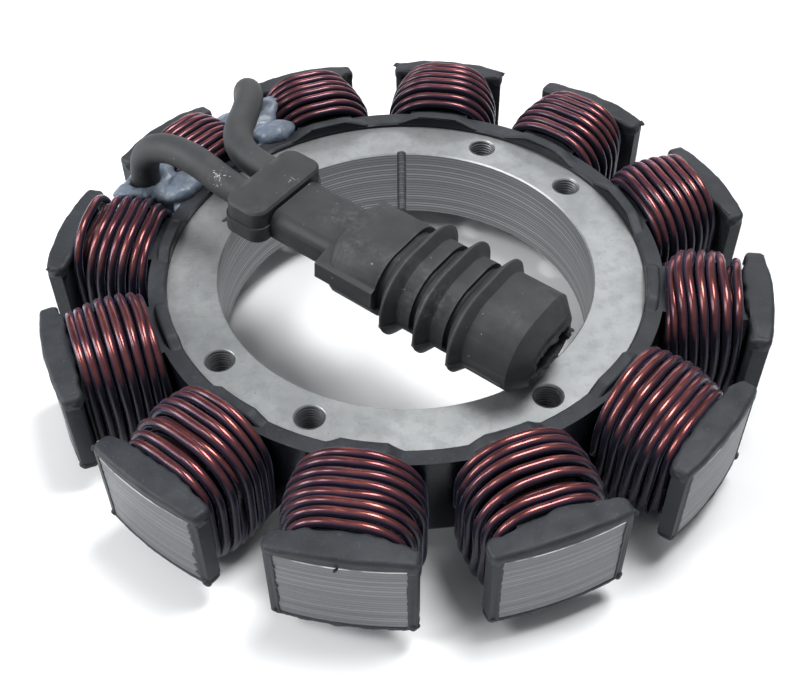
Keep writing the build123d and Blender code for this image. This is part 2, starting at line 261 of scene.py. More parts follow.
def wire_material(name, shade):
    """Varnished enamelled copper with painted light: red brown on the lit crests, painted purple shade and
    reflection between turns, painted black shade on faces that point down; shade darkens the whole copy.
    """

    def shaded(*colour):
        return tuple(value * shade for value in colour)

    s = Shader(name)
    along = s.noise(260, 3, 0.6)
    fine = s.noise(1400, 3, 0.6)
    normal = s.node("NewGeometry").outputs["Normal"]
    # Painted shade: faces that point down go near black.
    upper = s.math("ADD", s.upward(normal), s.times_plus(along, 0.4, -0.2))
    upper = s.ramp(upper, (0.34, 0.0), (0.65, 0.55), (0.95, 1.0))
    flat = s.node("VectorMath", {0: s.position, 1: (1, 1, 0)}, operation="MULTIPLY").outputs["Vector"]
    outward = s.node("VectorMath", {0: flat}, operation="NORMALIZE").outputs["Vector"]
    sideways = s.node("VectorMath", {0: normal, 1: outward}, operation="DOT_PRODUCT").outputs["Value"]
    # Painted light: red brown on the crests, painted purple shade and reflection on the flanks that face the next
    # turn.
    crest = s.ramp(s.math("ABSOLUTE", sideways), (0.24, 1.0), (0.70, 0.0))
    copper = s.ramp(along, (0.3, shaded(0.125, 0.035, 0.039)), (0.7, shaded(0.275, 0.082, 0.063)))
    purple = shaded(0.056, 0.027, 0.050)
    painted_shade_below = shaded(0.010, 0.009, 0.015)
    base = s.mix(upper, painted_shade_below, s.mix(crest, purple, copper))
    spots = s.ramp(s.noise(620, 4, 0.7), (0.70, 0.0), (0.76, 1.0))
    base = s.cover(base, (0.02, 0.014, 0.024), spots, 0.55)
    metal = s.times(s.times(upper, crest), 0.9 * min(1.0, shade * 1.5))
    s.set(Base_Color=base, Metallic=metal, Specular_Tint=(0.85, 0.76, 0.92, 1))
    gloss = s.times_plus(upper, 0.22 * shade, 0.18 * shade)
    s.set(Coat_Weight=0.10 * shade, Coat_Roughness=0.16, Specular_IOR_Level=gloss)
    s.set(Sheen_Weight=0.16 * shade, Sheen_Roughness=0.35, Sheen_Tint=(0.60, 0.60, 0.95, 1))
    s.set(Roughness=s.times_plus(along, 0.12, 0.19))
    s.bump(s.times_plus(fine, 0.25, s.times(along, 0.5)), 0.25, 0.00010)
    return s.material


def rubber_material(name, light, bloom_share, scuffs):
    """Matte dark rubber with a dusty mottle, a pale bloom, paler thin edges (partly wear, partly painted
    highlight), painted shade in the grooves and scuffs at given places.
    """
    s = Shader(name)
    mottle = s.noise(220, 5, 0.65)
    fine = s.noise(2400, 3, 0.6)
    low = tuple(light * value for value in (0.68, 0.73, 0.78))
    high = tuple(light * value for value in (1.15, 1.22, 1.30))
    base = s.ramp(mottle, (0.3, low), (0.7, high))
    patches = s.ramp(s.noise(75, 2, 0.5), (0.52, 0.0), (0.68, 1.0))
    bloom = s.times(patches, s.ramp(s.noise(700, 5, 0.7), (0.45, 0.0), (0.7, 1.0)))
    base = s.cover(base, (0.15, 0.165, 0.145), bloom, bloom_share)
    specks = s.ramp(s.noise(1100, 1, 0.4), (0.775, 0.0), (0.80, 1.0))
    base = s.cover(base, (0.35, 0.37, 0.37), specks, 0.35)
    flecks = s.noise(2100, 4, 0.7)
    for place, reach, density in scuffs:
        centre = tuple(Vector(place) * MM)
        away = s.node("VectorMath", {0: s.position, 1: centre}, operation="DISTANCE").outputs["Value"]
        near = s.math("SUBTRACT", 1.0, s.math("DIVIDE", away, reach * MM), clamp=True)
        shown = s.ramp(s.times_plus(near, density, flecks), (0.70, 0.0), (0.76, 1.0))
        shown = s.times(shown, s.ramp(near, (0.0, 0.0), (0.25, 1.0)))
        base = s.cover(base, (0.50, 0.51, 0.50), shown, 0.8)
    # Painted shade: darker in the grooves and hollows.
    groove = s.node("AmbientOcclusion", {"Distance": 3.0 * MM}, samples=6).outputs["AO"]
    base = s.cover(base, (0.006, 0.007, 0.008), s.ramp(groove, (0.35, 1.0), (0.85, 0.0)), 0.65)
    # Paler along thin edges, in patches: partly dust and wear, partly painted highlight.
    thin = s.node("AmbientOcclusion", {"Distance": 0.8 * MM}, samples=6, inside=True, only_local=True).outputs["AO"]
    pale_edge_patches = s.times(s.ramp(thin, (0.45, 1.0), (0.85, 0.0)), s.times(mottle, 0.8))
    base = s.cover(base, (0.10, 0.106, 0.11), pale_edge_patches, 0.6)
    s.set(Base_Color=base, Specular_IOR_Level=0.3)
    s.set(Roughness=s.times_plus(mottle, 0.2, 0.50))
    s.bump(s.times_plus(fine, 0.4, mottle), 0.35, 0.00012)
    return s.material


def sealant_material():
    """Blue grey sealing compound: wet sheen over soft wrinkles, paler on its crests."""
    s = Shader("sealant")
    folds = s.noise(210, 4, 0.6, 0.6)
    fine = s.noise(900, 3, 0.6)
    base = s.ramp(folds, (0.3, (0.088, 0.112, 0.148)), (0.55, (0.12, 0.150, 0.195)), (0.78, (0.175, 0.208, 0.255)))
    s.set(Base_Color=base, Specular_IOR_Level=0.4, Coat_Weight=0.2, Coat_Roughness=0.25)
    s.set(Roughness=s.times_plus(fine, 0.2, 0.34))
    wrinkles = s.noise(520, 3, 0.6, 1.5)
    s.bump(s.times_plus(wrinkles, 0.6, s.times_plus(fine, 0.15, folds)), 0.8, 0.0004)
    return s.material


def brass_material():
    """Dull turned brass, mottled by tarnish."""
    s = Shader("terminal_metal")
    tarnish = s.noise(500, 4, 0.6)
    base = s.ramp(tarnish, (0.3, (0.22, 0.16, 0.08)), (0.7, (0.50, 0.39, 0.20)))
    s.set(Base_Color=base, Metallic=0.9)
    s.set(Roughness=s.times_plus(tarnish, 0.25, 0.30))
    s.bump(tarnish, 0.3, 0.00005)
    return s.material


# White flecks on the rubber: place, reach and density.
LEAD_SCUFFS = [((-32.1, 5.8, 23.2), 2.9, 0.20)]
PLUG_SCUFFS = [
    ((-19.6, 5.0, 23.1), 2.4, 0.15),
    ((-24.9, 7.5, 23.1), 1.2, 0.20),
    ((2.0, -14.0, 26.0), 3.0, 0.12),
]

MATERIALS = {
    "lamination_steel": steel_material(),
    "overmould_plastic": resin_material(),
    "enamelled_wire": wire_material("enamelled_wire", 1.0),
    "sealant": sealant_material(),
    "cable_jacket": rubber_material("cable_jacket", 0.037, 0.15, LEAD_SCUFFS),
    "plug_rubber": rubber_material("plug_rubber", 0.030, 0.35, PLUG_SCUFFS),
    "terminal_metal": brass_material(),
}

# A darker copy of the wire for the inner layers: painted shade in the gaps between turns.
SHADED_INNER_WIRE = wire_material("inner_wire_shaded", 0.22)

slot_of = {row["node"]: row["material_slot"] for row in frame["record"]["subparts"]}
for name, node in nodes.items():
    node.data.materials.clear()
    node.data.materials.append(MATERIALS[slot_of[name]])

WELD_DISTANCE = 0.02


def soften(name, width, segments, angle):
    """Rounds the hard edges of a moulded node."""
    weld = nodes[name].modifiers.new("weld", "WELD")
    weld.merge_threshold = WELD_DISTANCE * MM
    bevel = nodes[name].modifiers.new("bevel", "BEVEL")
    bevel.width = width * MM
    bevel.segments = segments
    bevel.limit_method = "ANGLE"
    bevel.angle_limit = math.radians(angle)
    bevel.harden_normals = True


soften("overmould", 0.45, 3, 24)
soften("grommet", 0.5, 3, 30)
soften("plug_body", 0.25, 2, 30)


# -------------------- pieces and places
def dress(piece, slot):
    """Gives a new piece its material and lets it ride with the part."""
    piece.data.materials.append(MATERIALS[slot])
    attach(piece, "root")
    return piece


def as_piece(name, mesh, slot):
    """Turns a bmesh into an object of the part."""
    data = bpy.data.meshes.new(name)
    mesh.to_mesh(data)
    mesh.free()
    return dress(new_object(name, data), slot)


def pole_angle(index):
    """The direction of a pole, in degrees."""
    return FIRST_POLE + POLE_PITCH * (index - 1)


def pole_point(angle, radial, across, up):
    """A point beside a pole, in metres: out along the pole, across it and up."""
    turn = math.radians(angle)
    x = radial * math.cos(turn) - across * math.sin(turn)
    y = radial * math.sin(turn) + across * math.cos(turn)
    return Vector((x * MM, y * MM, up * MM))


def head_face(across):
    """How far out the round face of a head lies, at that place across the pole."""
    return math.sqrt(HEAD_RADIUS**2 - across**2)


# -------------------- shapes
def waves(place):
    """Smooth noise on both sides of zero."""
    return noise.noise(Vector(place))


def peaks(place):
    """The same noise with its lower half cut off."""
    return max(0.0, waves(place))


def lump(place, scale, amount):
    """A smooth wandering amount at a place given in millimetres."""
    return amount * noise.noise(Vector(place) / scale)


def skin(mesh, rows, closed=True, turned=False, material=0):
    """Smooth faces between rows of points; closed rows end where they start, turned ones face the other way."""
    count = len(rows[0])
    for first, second in zip(rows, rows[1:]):
        for step in range(count if closed else count - 1):
            other = (step + 1) % count
            if turned:
                face = mesh.faces.new((first[step], second[step], second[other], first[other]))
            else:
                face = mesh.faces.new((first[step], first[other], second[other], second[step]))
            face.smooth = True
            face.material_index = material


def lids(mesh, rows, turned=False, smooth=False):
    """Closes both ends of a skin."""
    for lid in (rows[0], rows[-1][::-1]) if turned else (rows[0][::-1], rows[-1]):
        mesh.faces.new(lid).smooth = smooth


def rounded_section(low_x, high_x, low_z, high_z, corner, steps, flat_steps):
    """Points of a rounded rectangle, anticlockwise, also along its flats, so that lumps show there."""
    corner = min(corner, 0.49 * (high_x - low_x), 0.49 * (high_z - low_z))
    points = []
    centres = (
        (high_x - corner, high_z - corner),
        (low_x + corner, high_z - corner),
        (low_x + corner, low_z + corner),
        (high_x - corner, low_z + corner),
    )
    for quarter, (x, z) in enumerate(centres):
        for step in range(steps + 1):
            a = math.pi / 2 * (quarter + step / steps)
            points.append((x + corner * math.cos(a), z + corner * math.sin(a)))
        next_x, next_z = centres[(quarter + 1) % 4]
        a = math.pi / 2 * (quarter + 1)
        (x0, z0), (x1, z1) = points[-1], (next_x + corner * math.cos(a), next_z + corner * math.sin(a))
        for step in range(1, flat_steps):
            points.append((x0 + (x1 - x0) * step / flat_steps, z0 + (z1 - z0) * step / flat_steps))
    return points


def tube(mesh, points, radius, sides=10, material=0):
    """A round wire along points given in metres, with closed ends."""
    rings = []
    normal = None
    for index, point in enumerate(points):
        before = points[max(index - 1, 0)]
        after = points[min(index + 1, len(points) - 1)]
        along = (after - before).normalized()
        if normal is None:
            normal = along.orthogonal().normalized()
        normal = (normal - along * normal.dot(along)).normalized()
        side = along.cross(normal)
        ring = []
        for step in range(sides):
            a = 2 * math.pi * step / sides
            ring.append(mesh.verts.new(point + (normal * math.cos(a) + side * math.sin(a)) * radius))
        rings.append(ring)
    skin(mesh, rings, material=material)
    lids(mesh, rings)


BURR_SIDES = 7
BURR_FLATNESS = 0.45
BURR_TAPER = ((0.0, 1.0), (0.4, 0.95), (0.75, 0.7), (1.0, 0.3))


def burr(mesh, start, tip, width, seed):
    """A small torn spike of moulding material, flat and bent, between two places in metres."""
    pick = random.Random(seed)
    along = tip - start
    side = along.orthogonal().normalized() * width * MM
    other = along.cross(side).normalized() * width * BURR_FLATNESS * MM
    rings = []
    for share, size in BURR_TAPER:
        middle = start + along * share + side * pick.uniform(-0.4, 0.4) * share
        ring = []
        for step in range(BURR_SIDES):
            a = 2 * math.pi * step / BURR_SIDES
            reach = size * pick.uniform(0.75, 1.15)
            ring.append(mesh.verts.new(middle + side * math.cos(a) * reach + other * math.sin(a) * reach))
        rings.append(ring)
    skin(mesh, rings)
    lids(mesh, rings)


def clod(mesh, centre, reach, seed):
    """A soft round lump of moulding material around a place given in metres."""
    made = bmesh.ops.create_icosphere(mesh, subdivisions=3, radius=reach * MM, matrix=Matrix.Translation(centre))
    for vertex in made["verts"]:
        away = vertex.co - centre
        vertex.co += away * lump(vertex.co / MM + Vector((seed * 13.0, 0, 0)), 0.8, 0.45)
        for face in vertex.link_faces:
            face.smooth = True


BAR_STATIONS = 60
BAR_SMALLEST_END = 0.12
BAR_END_POWER = 2.6


def bar(mesh, angle, half_length, section_at, end_radius, swell, seed):
    """A soft lumpy moulding across a pole: section_at gives its section at each place across."""
    rings = []
    for station in range(BAR_STATIONS + 1):
        share = 0.5 - 0.5 * math.cos(math.pi * station / BAR_STATIONS)
        across = -half_length + 2 * half_length * share
        section = section_at(across)
        middle_x = sum(x for x, z in section) / len(section)
        middle_z = sum(z for x, z in section) / len(section)
        from_end = (half_length - abs(across)) / end_radius
        shrink = 1.0
        if from_end < 1:
            shrink = max(BAR_SMALLEST_END, 1 - (1 - from_end) ** BAR_END_POWER) ** (1 / BAR_END_POWER)
        ring = []
        for x, z in section:
            x, z = middle_x + (x - middle_x) * shrink, middle_z + (z - middle_z) * shrink
            out = Vector((x - middle_x, z - middle_z)).normalized()
            grow = lump((across + seed * 31, x, z), 2.6, swell) + lump((across - seed * 17, x, z), 0.9, swell * 0.4)
            ring.append(mesh.verts.new(pole_point(angle, x + out.x * grow, across, z + out.y * grow)))
        rings.append(ring)
    skin(mesh, rings, turned=True)
    lids(mesh, rings, turned=True, smooth=True)


# -------------------- leads
LEAD_DIAMETER = 5.4
LEAD_ROUTES = {
    "lead_a": [
        (-48.8, 21.5, 9.0),
        (-48.8, 21.5, 14.0),
        (-46.6, 19.6, 19.0),
        (-42.0, 15.8, 22.2),
        (-36.2, 10.9, 22.9),
        (-30.93, 6.50, 20.96),
        (-26.97, 3.65, 20.57),
    ],
    "lead_b": [
        (-31.4, 43.8, 9.0),
        (-31.4, 43.8, 13.2),
        (-30.7, 41.2, 17.2),
        (-29.5, 36.2, 18.9),
        (-29.8, 29.2, 19.9),
        (-30.6, 22.2, 20.9),
        (-29.5, 16.2, 21.5),
        (-26.28, 12.27, 20.93),
        (-22.64, 9.65, 20.57),
    ],
}
CORD_ORDER = 3
CORD_STEPS = 12
CORD_SECTION_STEPS = 8


def spline_curve(name, points, diameter):
    """An open NURBS curve on millimetre control points, with a round section."""
    data = bpy.data.curves.new(name, "CURVE")
    data.dimensions = "3D"
    spline = data.splines.new("NURBS")
    spline.points.add(len(points) - 1)
    for point, place in zip(spline.points, points):
        point.co = (*(Vector(place) * MM), 1)
    spline.order_u = CORD_ORDER
    spline.use_endpoint_u = True
    data.resolution_u = CORD_STEPS
    data.bevel_depth = diameter * MM / 2
    data.bevel_resolution = CORD_SECTION_STEPS
    data.use_fill_caps = True
    return new_object(name, data)


for name, route in LEAD_ROUTES.items():
    lead = spline_curve(name + "_cord", route, LEAD_DIAMETER)
    dress(lead, "cable_jacket")
    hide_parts(name)


# -------------------- coils
WIRE = 1.63
WIRE_RADIUS = 0.93 * WIRE / 2
COIL_START = 45.5
COIL_LENGTH = 13.3
COIL_HALF_WIDTH = 11.2
COIL_HALF_HEIGHT = 13.7
COIL_CORNER = 9.8
# A coil narrows towards the ring and the head. Its corners get sharper at the head and with depth.
RING_WAIST = 0.9
HEAD_WAIST = 2.3
HEAD_CORNER_LOSS = 2.0
DEPTH_CORNER_LOSS = 0.8
MOST_HANG = 0.6
OUTERMOST_PLAY = 0.1
INNER_LAYER_DEPTH = 1.45
STATIONS = 8
STEPS = 9
HEART_HALF_WIDTH = 7.6
HEART_HALF_HEIGHT = 8.2
HEART_CORNER = 5.0
HEART_TOP = 10.1
HEART_SIDES = 40
HEART_SHARES = (0.02, 0.1, 0.25, 0.4, 0.55, 0.7, 0.8, 0.91)
# Outward directions of the loop's four sides: left, top, right and bottom.
LOOP_SIDES = ((-1, 0), (0, 1), (1, 0), (0, -1))


def loop_place(share, half_width, half_height, corner):
    """Across and up on a rounded outline: share runs from the left side over the top, the right side and below."""
    x0, z0 = half_width - corner, half_height - corner
    bend = math.pi * corner / 2
    total = 4 * (x0 + z0 + bend)
    run = (share % 1.0) * total + z0
    if run > total:
        run -= total
    for index, (out_x, out_z) in enumerate(LOOP_SIDES):
        on_x, on_z = LOOP_SIDES[(index + 1) % 4]
        half_flat = z0 if out_x else x0
        if run < 2 * half_flat:
            along = run - half_flat
            return out_x * half_width + on_x * along, out_z * half_height + on_z * along
        run -= 2 * half_flat
        if run < bend or index == 3:
            a = run / corner
            x, z = out_x * math.cos(a) + on_x * math.sin(a), out_z * math.cos(a) + on_z * math.sin(a)
            return (out_x + on_x) * x0 + corner * x, (out_z + on_z) * z0 + corner * z
        run -= bend


def smooth_through(values, place):
    """A smooth value between evenly spaced ones."""
    index = min(int(place), len(values) - 2)
    t = place - index
    p1, p2 = values[index], values[index + 1]
    p0 = values[max(index - 1, 0)]
    p3 = values[min(index + 2, len(values) - 1)]
    a = 2 * p1
    b = p2 - p0
    c = 2 * p0 - 5 * p1 + 4 * p2 - p3
    d = 3 * p1 - p0 - 3 * p2 + p3
    return 0.5 * (a + b * t + c * t * t + d * t * t * t)


def winding(mesh, angle, crests, sink, seed, moves=None, wobble=0.10, material=0):
    """One layer of a coil: a wire that climbs the left side, crosses the top, and steps outwards below."""
    pick = random.Random(seed)
    moves = moves or {}
    turns = len(crests)
    first, last = COIL_START + WIRE / 2, COIL_START + COIL_LENGTH - WIRE / 2
    pitch = (last - first) / (turns - 1)
    radial, depth, lift = [], [], []
    for turn in range(turns + 1):
        side = first + pitch * turn
        top, rise = crests[min(turn, turns - 1)]
        hang = pick.uniform(0.0, MOST_HANG)
        places = (
            (side, 0.0),
            ((side + top) / 2, rise * 0.55),
            (top, rise),
            ((side + top) / 2, rise * 0.6),
            (side, 0.0),
            (side + 0.25 * pitch, hang * 0.5),
            (side + 0.5 * pitch, hang),
            (side + 0.75 * pitch, hang * 0.5),
        )
        for station, (out, raised) in enumerate(places):
            if turn == turns and station:
                break
            dr, ds = moves.get((turn, station), (0.0, 0.0))
            radial.append(min(out + dr + pick.uniform(-wobble, wobble), last + OUTERMOST_PLAY))
            depth.append(sink + ds + pick.uniform(0, wobble))
            lift.append(raised)
    points = []
    for step in range((len(radial) - 1) * STEPS + 1):
        place = step / STEPS
        out, deep, raised = (smooth_through(series, place) for series in (radial, depth, lift))
        share = (out - COIL_START) / COIL_LENGTH
        near_ring = max(0.0, 1 - 3 * share)
        near_head = max(0.0, 2.4 * share - 1.4) ** 1.4
        half_width = COIL_HALF_WIDTH - WIRE / 2 - RING_WAIST * near_ring - HEAD_WAIST * near_head - deep
        half_height = COIL_HALF_HEIGHT - WIRE / 2 - deep
        corner = COIL_CORNER - WIRE / 2 - HEAD_CORNER_LOSS * near_head - deep * DEPTH_CORNER_LOSS
        across, up = loop_place(place / STATIONS, half_width, half_height, corner)
        points.append(pole_point(angle, out, across, up + raised))
    tube(mesh, points, WIRE_RADIUS * MM, material=material)


def crest_height(crests, out):
    """How far the wires lie above the common height, at a distance from the axis."""
    if out <= crests[0][0]:
        return crests[0][1]
    for (out0, rise0), (out1, rise1) in zip(crests, crests[1:]):
        if out <= out1:
            return rise0 + (rise1 - rise0) * (out - out0) / (out1 - out0)
    return crests[-1][1]


def coil_heart(mesh, angle, crests):
    """The hidden inner layers of a coil, as one rounded block whose top follows the wires, dark from painted shade
    in the shaded copy of the wire.
    """
    rings = []
    for share in HEART_SHARES:
        out = COIL_START + COIL_LENGTH * share
        top = HEART_TOP + crest_height(crests, out)
        ring = []
        for step in range(HEART_SIDES):
            across, up = loop_place(step / HEART_SIDES, HEART_HALF_WIDTH, HEART_HALF_HEIGHT, HEART_CORNER)
            if up > 0:
                up *= top / HEART_HALF_HEIGHT
            ring.append(mesh.verts.new(pole_point(angle, out, across, up)))
        rings.append(ring)
    skin(mesh, rings, turned=True, material=1)
    lids(mesh, rings, turned=True)


# Each coil's turns along its top: their distances from the axis, then how far they lie above the common height.
COIL_CRESTS = {
    1: ((46.6, 48.3, 50.0, 51.6, 53.2, 54.6, 56.1, 57.7), (-0.7, -0.8, -1.1, -1.5, -2.0, -2.2, -2.5, -3.1)),
    2: ((46.3, 47.9, 49.6, 51.5, 53.4, 55.6, 57.4), (-0.5, -0.6, -0.7, -1.3, -2.0, -3.3, -3.7)),
    3: ((46.3, 48.1, 50.0, 51.9, 53.7, 55.2, 56.7, 58.0), (-0.3, -0.3, -0.6, -0.9, -1.4, -2.0, -2.6, -3.3)),
    4: ((46.1, 46.2, 46.8, 48.4, 50.3, 52.2, 54.3, 56.8), (-4.0, -2.0, -0.2, 0.1, 0.1, 0.0, -0.2, -0.6)),
    5: ((46.0, 46.2, 47.6, 49.3, 51.2, 53.0, 54.8, 56.6), (-3.0, -1.1, -0.6, -0.2, -0.1, -0.1, -0.1, 0.0)),
    6: ((46.1, 47.6, 49.4, 51.2, 53.0, 54.8, 56.6), (-2.4, -1.9, -1.5, -1.0, -0.8, -0.7, -0.7)),
    7: ((46.1, 47.6, 49.5, 51.2, 52.9, 54.7, 56.4), (-2.5, -1.7, -0.8, -0.4, -0.2, -0.1, -0.3)),
    8: ((46.1, 47.6, 49.5, 51.3, 53.0, 54.8, 56.6), (-2.5, -1.8, -1.1, -0.8, -0.7, -0.5, -0.4)),
    9: ((46.0, 47.0, 48.7, 50.2, 51.8, 53.6, 55.3, 56.9), (-2.0, -1.0, -0.5, -0.3, -0.2, 0.1, 0.2, 0.1)),
    10: ((46.0, 46.8, 48.3, 50.0, 51.9, 53.8, 57.4), (-2.5, -1.2, -0.2, 0.1, 0.1, 0.1, 0.2)),
    11: ((46.2, 47.2, 49.1, 51.1, 53.0, 55.0, 56.6, 57.9), (-0.8, 0.0, 0.2, 0.2, 0.1, -0.2, -0.5, -0.8)),
    12: ((46.3, 47.9, 49.8, 51.4, 52.9, 54.0, 56.2, 57.8), (-0.2, -0.3, -0.6, -0.9, -2.2, -1.7, -2.8, -3.4)),
}
# Single turns that leave the row, by coil, turn and station: a shift outwards and a depth.
COIL_MOVES = {
    1: {
        (3, 3): (0.3, -0.1),
        (3, 4): (0.4, -0.1),
        (4, 2): (-0.2, 0.1),
        (4, 3): (-0.9, 0.7),
        (4, 4): (-0.7, 1.4),
    },
    2: {(4, 0): (1.0, -0.3), (4, 1): (0.5, -0.2)},
    4: {(6, 3): (-1.2, -0.2), (6, 4): (-2.6, -0.4), (6, 5): (-2.0, -0.3)},
    12: {(4, 0): (-0.5, 1.5), (4, 1): (-0.5, 0.9), (4, 3): (-0.4, 0.5), (4, 4): (-0.6, 1.5)},
}

for index, (distances, rises) in COIL_CRESTS.items():
    angle = pole_angle(index)
    crests = list(zip(distances, rises))
    wires = bmesh.new()
    coil_heart(wires, angle, crests)
    winding(wires, angle, crests, 0.0, 10 * index + 1, moves=COIL_MOVES.get(index))
    between = [((a + c) / 2, (b + d) / 2) for (a, b), (c, d) in zip(crests, crests[1:])]
    # The layer between the turns takes the shaded copy of the wire: painted shade in the gaps.
    winding(wires, angle, between, INNER_LAYER_DEPTH, 10 * index + 2, wobble=0.2, material=1)
    coil = as_piece(f"coil_{index:02d}_wires", wires, "enamelled_wire")
    coil.data.materials.append(SHADED_INNER_WIRE)
    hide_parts(f"coil_{index:02d}")


# -------------------- head covers and their flash
CAP_DEPTH = 4.5
CAP_END_DEPTH = 3.5
CAP_CREST = 2.3
CAP_END_HEIGHT = 1.5
CAP_CORNER = 0.75
CAP_HOLD = 0.45
CAP_SKIN = 0.13
CAP_TOP_SKIN = 0.06
CAP_FOOT = 0.9
LIP_HEIGHT = 0.95
LIP_DEPTH = 2.6
LIP_CORNER = 0.35
LIP_SKIN = 0.09
FLASH_STEPS = 44
MIDDLE_REACH = 5


def cap_section(across, seed, tear):
    """The head cover's section: crowned top, soft corners and a torn lower edge on the steel."""
    side = min(abs(across) / CAP_HALF_WIDTH, 1.0)
    inner = HEAD_RADIUS - CAP_DEPTH + (CAP_DEPTH - CAP_END_DEPTH) * side**2 - CAP_HOLD
    inner += lump((across, seed * 7.0, 0.0), 2.2, 0.60)
    outer = head_face(min(abs(across), CAP_HALF_WIDTH)) + CAP_SKIN
    top = HALF_STACK + CAP_CREST - (CAP_CREST - CAP_END_HEIGHT) * side**2 + CAP_TOP_SKIN
    top += lump((across, seed * 11.0, 4.0), 3.5, 0.16)
    torn = 0.28 * tear + 0.04
    low = HALF_STACK - 0.08 - torn * abs(waves((across / 1.1, seed * 2.3, 0.0))) * 1.6
    low -= torn * peaks((across / 0.4, seed * 4.3, 5.0)) * 0.8
    if abs(across) > HEAD_HALF_WIDTH - 0.1:
        low -= CAP_FOOT
    return rounded_section(inner, outer, low, top, CAP_CORNER, 5, 5)


def lip_section(across, seed, tear):
    """The thin lip under the head, with ragged flash along its lower edge."""
    outer = head_face(min(abs(across), CAP_HALF_WIDTH)) + LIP_SKIN
    low = -HALF_STACK - LIP_HEIGHT - tear * 0.9 * peaks((across / 1.6, seed * 3.7, 2.0))
    low -= tear * 0.5 * peaks((across / 0.5, seed * 6.1, 7.0))
    high = -HALF_STACK + 0.05 + tear * 0.35 * waves((across / 1.2, seed * 8.9, 1.0))
    return rounded_section(outer - LIP_DEPTH, outer, low, high, LIP_CORNER, 3, 4)


def flash_side(mesh, angle, side, ragged, seed):
    """Thin flash that creeps from a side strip over the steel face, with a torn inner edge."""
    rows = []
    for step in range(FLASH_STEPS + 1):
        z = -HALF_STACK - 0.3 + (2 * HALF_STACK + 0.3) * step / FLASH_STEPS
        creep = 0.10 + ragged * (0.5 + waves((seed * 3.1, z / 0.9, 0.0)) * 0.9)
        creep += ragged * 0.5 * peaks((seed * 5.7, z / 0.35, 3.0))
        inner = side * (HEAD_HALF_WIDTH - max(0.03, creep))
        outer = side * (HEAD_HALF_WIDTH + 0.35)
        over = 0.14 + 0.04 * waves((seed, z / 0.6, 9.0))
        middle = (inner + outer) / 2
        places = (
            (head_face(inner) - 0.05, inner),
            (head_face(inner) + over * 0.9, inner + side * 0.05),
            (head_face(middle) + over, middle),
            (head_face(outer) + 0.02, outer),
        )
        rows.append([mesh.verts.new(pole_point(angle, x, across, z)) for x, across in places])
    skin(mesh, rows if side > 0 else rows[::-1], closed=False)


def cover_burr(mesh, angle, across, way_across, way_up, length, seed):
    """A torn spike on a head cover: low in the middle, higher at the corners."""
    in_middle = abs(across) < MIDDLE_REACH
    reach = head_face(min(abs(across), CAP_HALF_WIDTH)) - 0.3 + (0.6 if in_middle else 0.0)
    height = HALF_STACK + (0.2 if in_middle else 0.9)
    length *= 0.55
    start = pole_point(angle, reach, across * 0.97, height)
    tip = pole_point(angle, reach + 0.2, across + way_across * length, height + way_up * length)
    burr(mesh, start, tip, 0.60, seed)


# How torn the flash is on each head: along its left side, right side and lower edge.
HEAD_TEARS = {
    1: (0.45, 0.22, 0.60),
    2: (0.20, 0.20, 0.25),
    3: (0.30, 0.25, 0.60),
    4: (0.40, 0.30, 0.45),
    11: (0.30, 0.35, 0.40),
    12: (0.20, 0.80, 0.35),
}
PLAIN_TEARS = (0.3, 0.3, 0.35)
# Torn spikes on the head covers: pole, place across, way across, way up, length.
BURRS = [
    (1, -0.3, 0.15, -0.8, 0.9),
    (1, 11.2, 0.6, -0.5, 0.8),
    (2, 11.2, 1.0, -0.1, 1.3),
    (4, 11.0, 0.5, 0.0, 1.0),
    (6, -11.1, -0.9, 0.3, 1.5),
    (6, 10.8, 0.7, 0.5, 0.8),
    (7, 11.2, 1.0, 0.1, 1.6),
    (7, -11.2, -0.9, -0.2, 1.4),
    (9, -10.6, -0.9, -0.2, 1.6),
    (10, 11.0, 0.5, 0.7, 0.9),
    (12, -11.2, -0.4, 0.8, 0.8),
]
# Soft lumps at both ends of some lips: their side and reach, then where they lie.
LUMPY_FEET = (1, 2, 3, 11, 12)
FOOT_LUMPS = ((-1, 0.62), (1, 0.80))
FOOT_ACROSS = 10.60
FOOT_SINK = 0.45
FOOT_DROP = 0.30

for index in COIL_CRESTS:
    angle = pole_angle(index)
    left_tear, right_tear, lower_tear = HEAD_TEARS.get(index, PLAIN_TEARS)
    cover = bmesh.new()
    cap_at = partial(cap_section, seed=index, tear=max(left_tear, right_tear))
    bar(cover, angle, CAP_HALF_WIDTH + 0.3, cap_at, 0.95, 0.16, index)
    lip_at = partial(lip_section, seed=index, tear=lower_tear)
    bar(cover, angle, CAP_HALF_WIDTH + 0.12, lip_at, 0.5, 0.07, index + 20)
    flash_side(cover, angle, -1, left_tear, index * 2 + 1)
    flash_side(cover, angle, 1, right_tear, index * 2 + 2)
    for pole, *shape in BURRS:
        if pole == index:
            cover_burr(cover, angle, *shape, seed=pole + 3)
    if index in LUMPY_FEET:
        for side, reach in FOOT_LUMPS:
            out = head_face(HEAD_HALF_WIDTH) - FOOT_SINK
            clod(cover, pole_point(angle, out, side * FOOT_ACROSS, -HALF_STACK - FOOT_DROP), reach, index + side)
    as_piece(f"head_cover_{index:02d}", cover, "overmould_plastic")


# -------------------- soft humps of the rim
HUMP_REACH = 6.6
WIDE_HUMP_REACH = 8.6
WIDE_HUMPS = (5, 6, 7, 8, 9)
HUMP_INNER = 42.2
HUMP_OUTER = 44.4
HUMP_CORNER = 0.62
HUMP_RISE = 1.4
HUMP_SINK = 0.9
HUMP_FOOT = 0.3
HUMP_CROWN = 3.7
RIM_TOP = 8.32


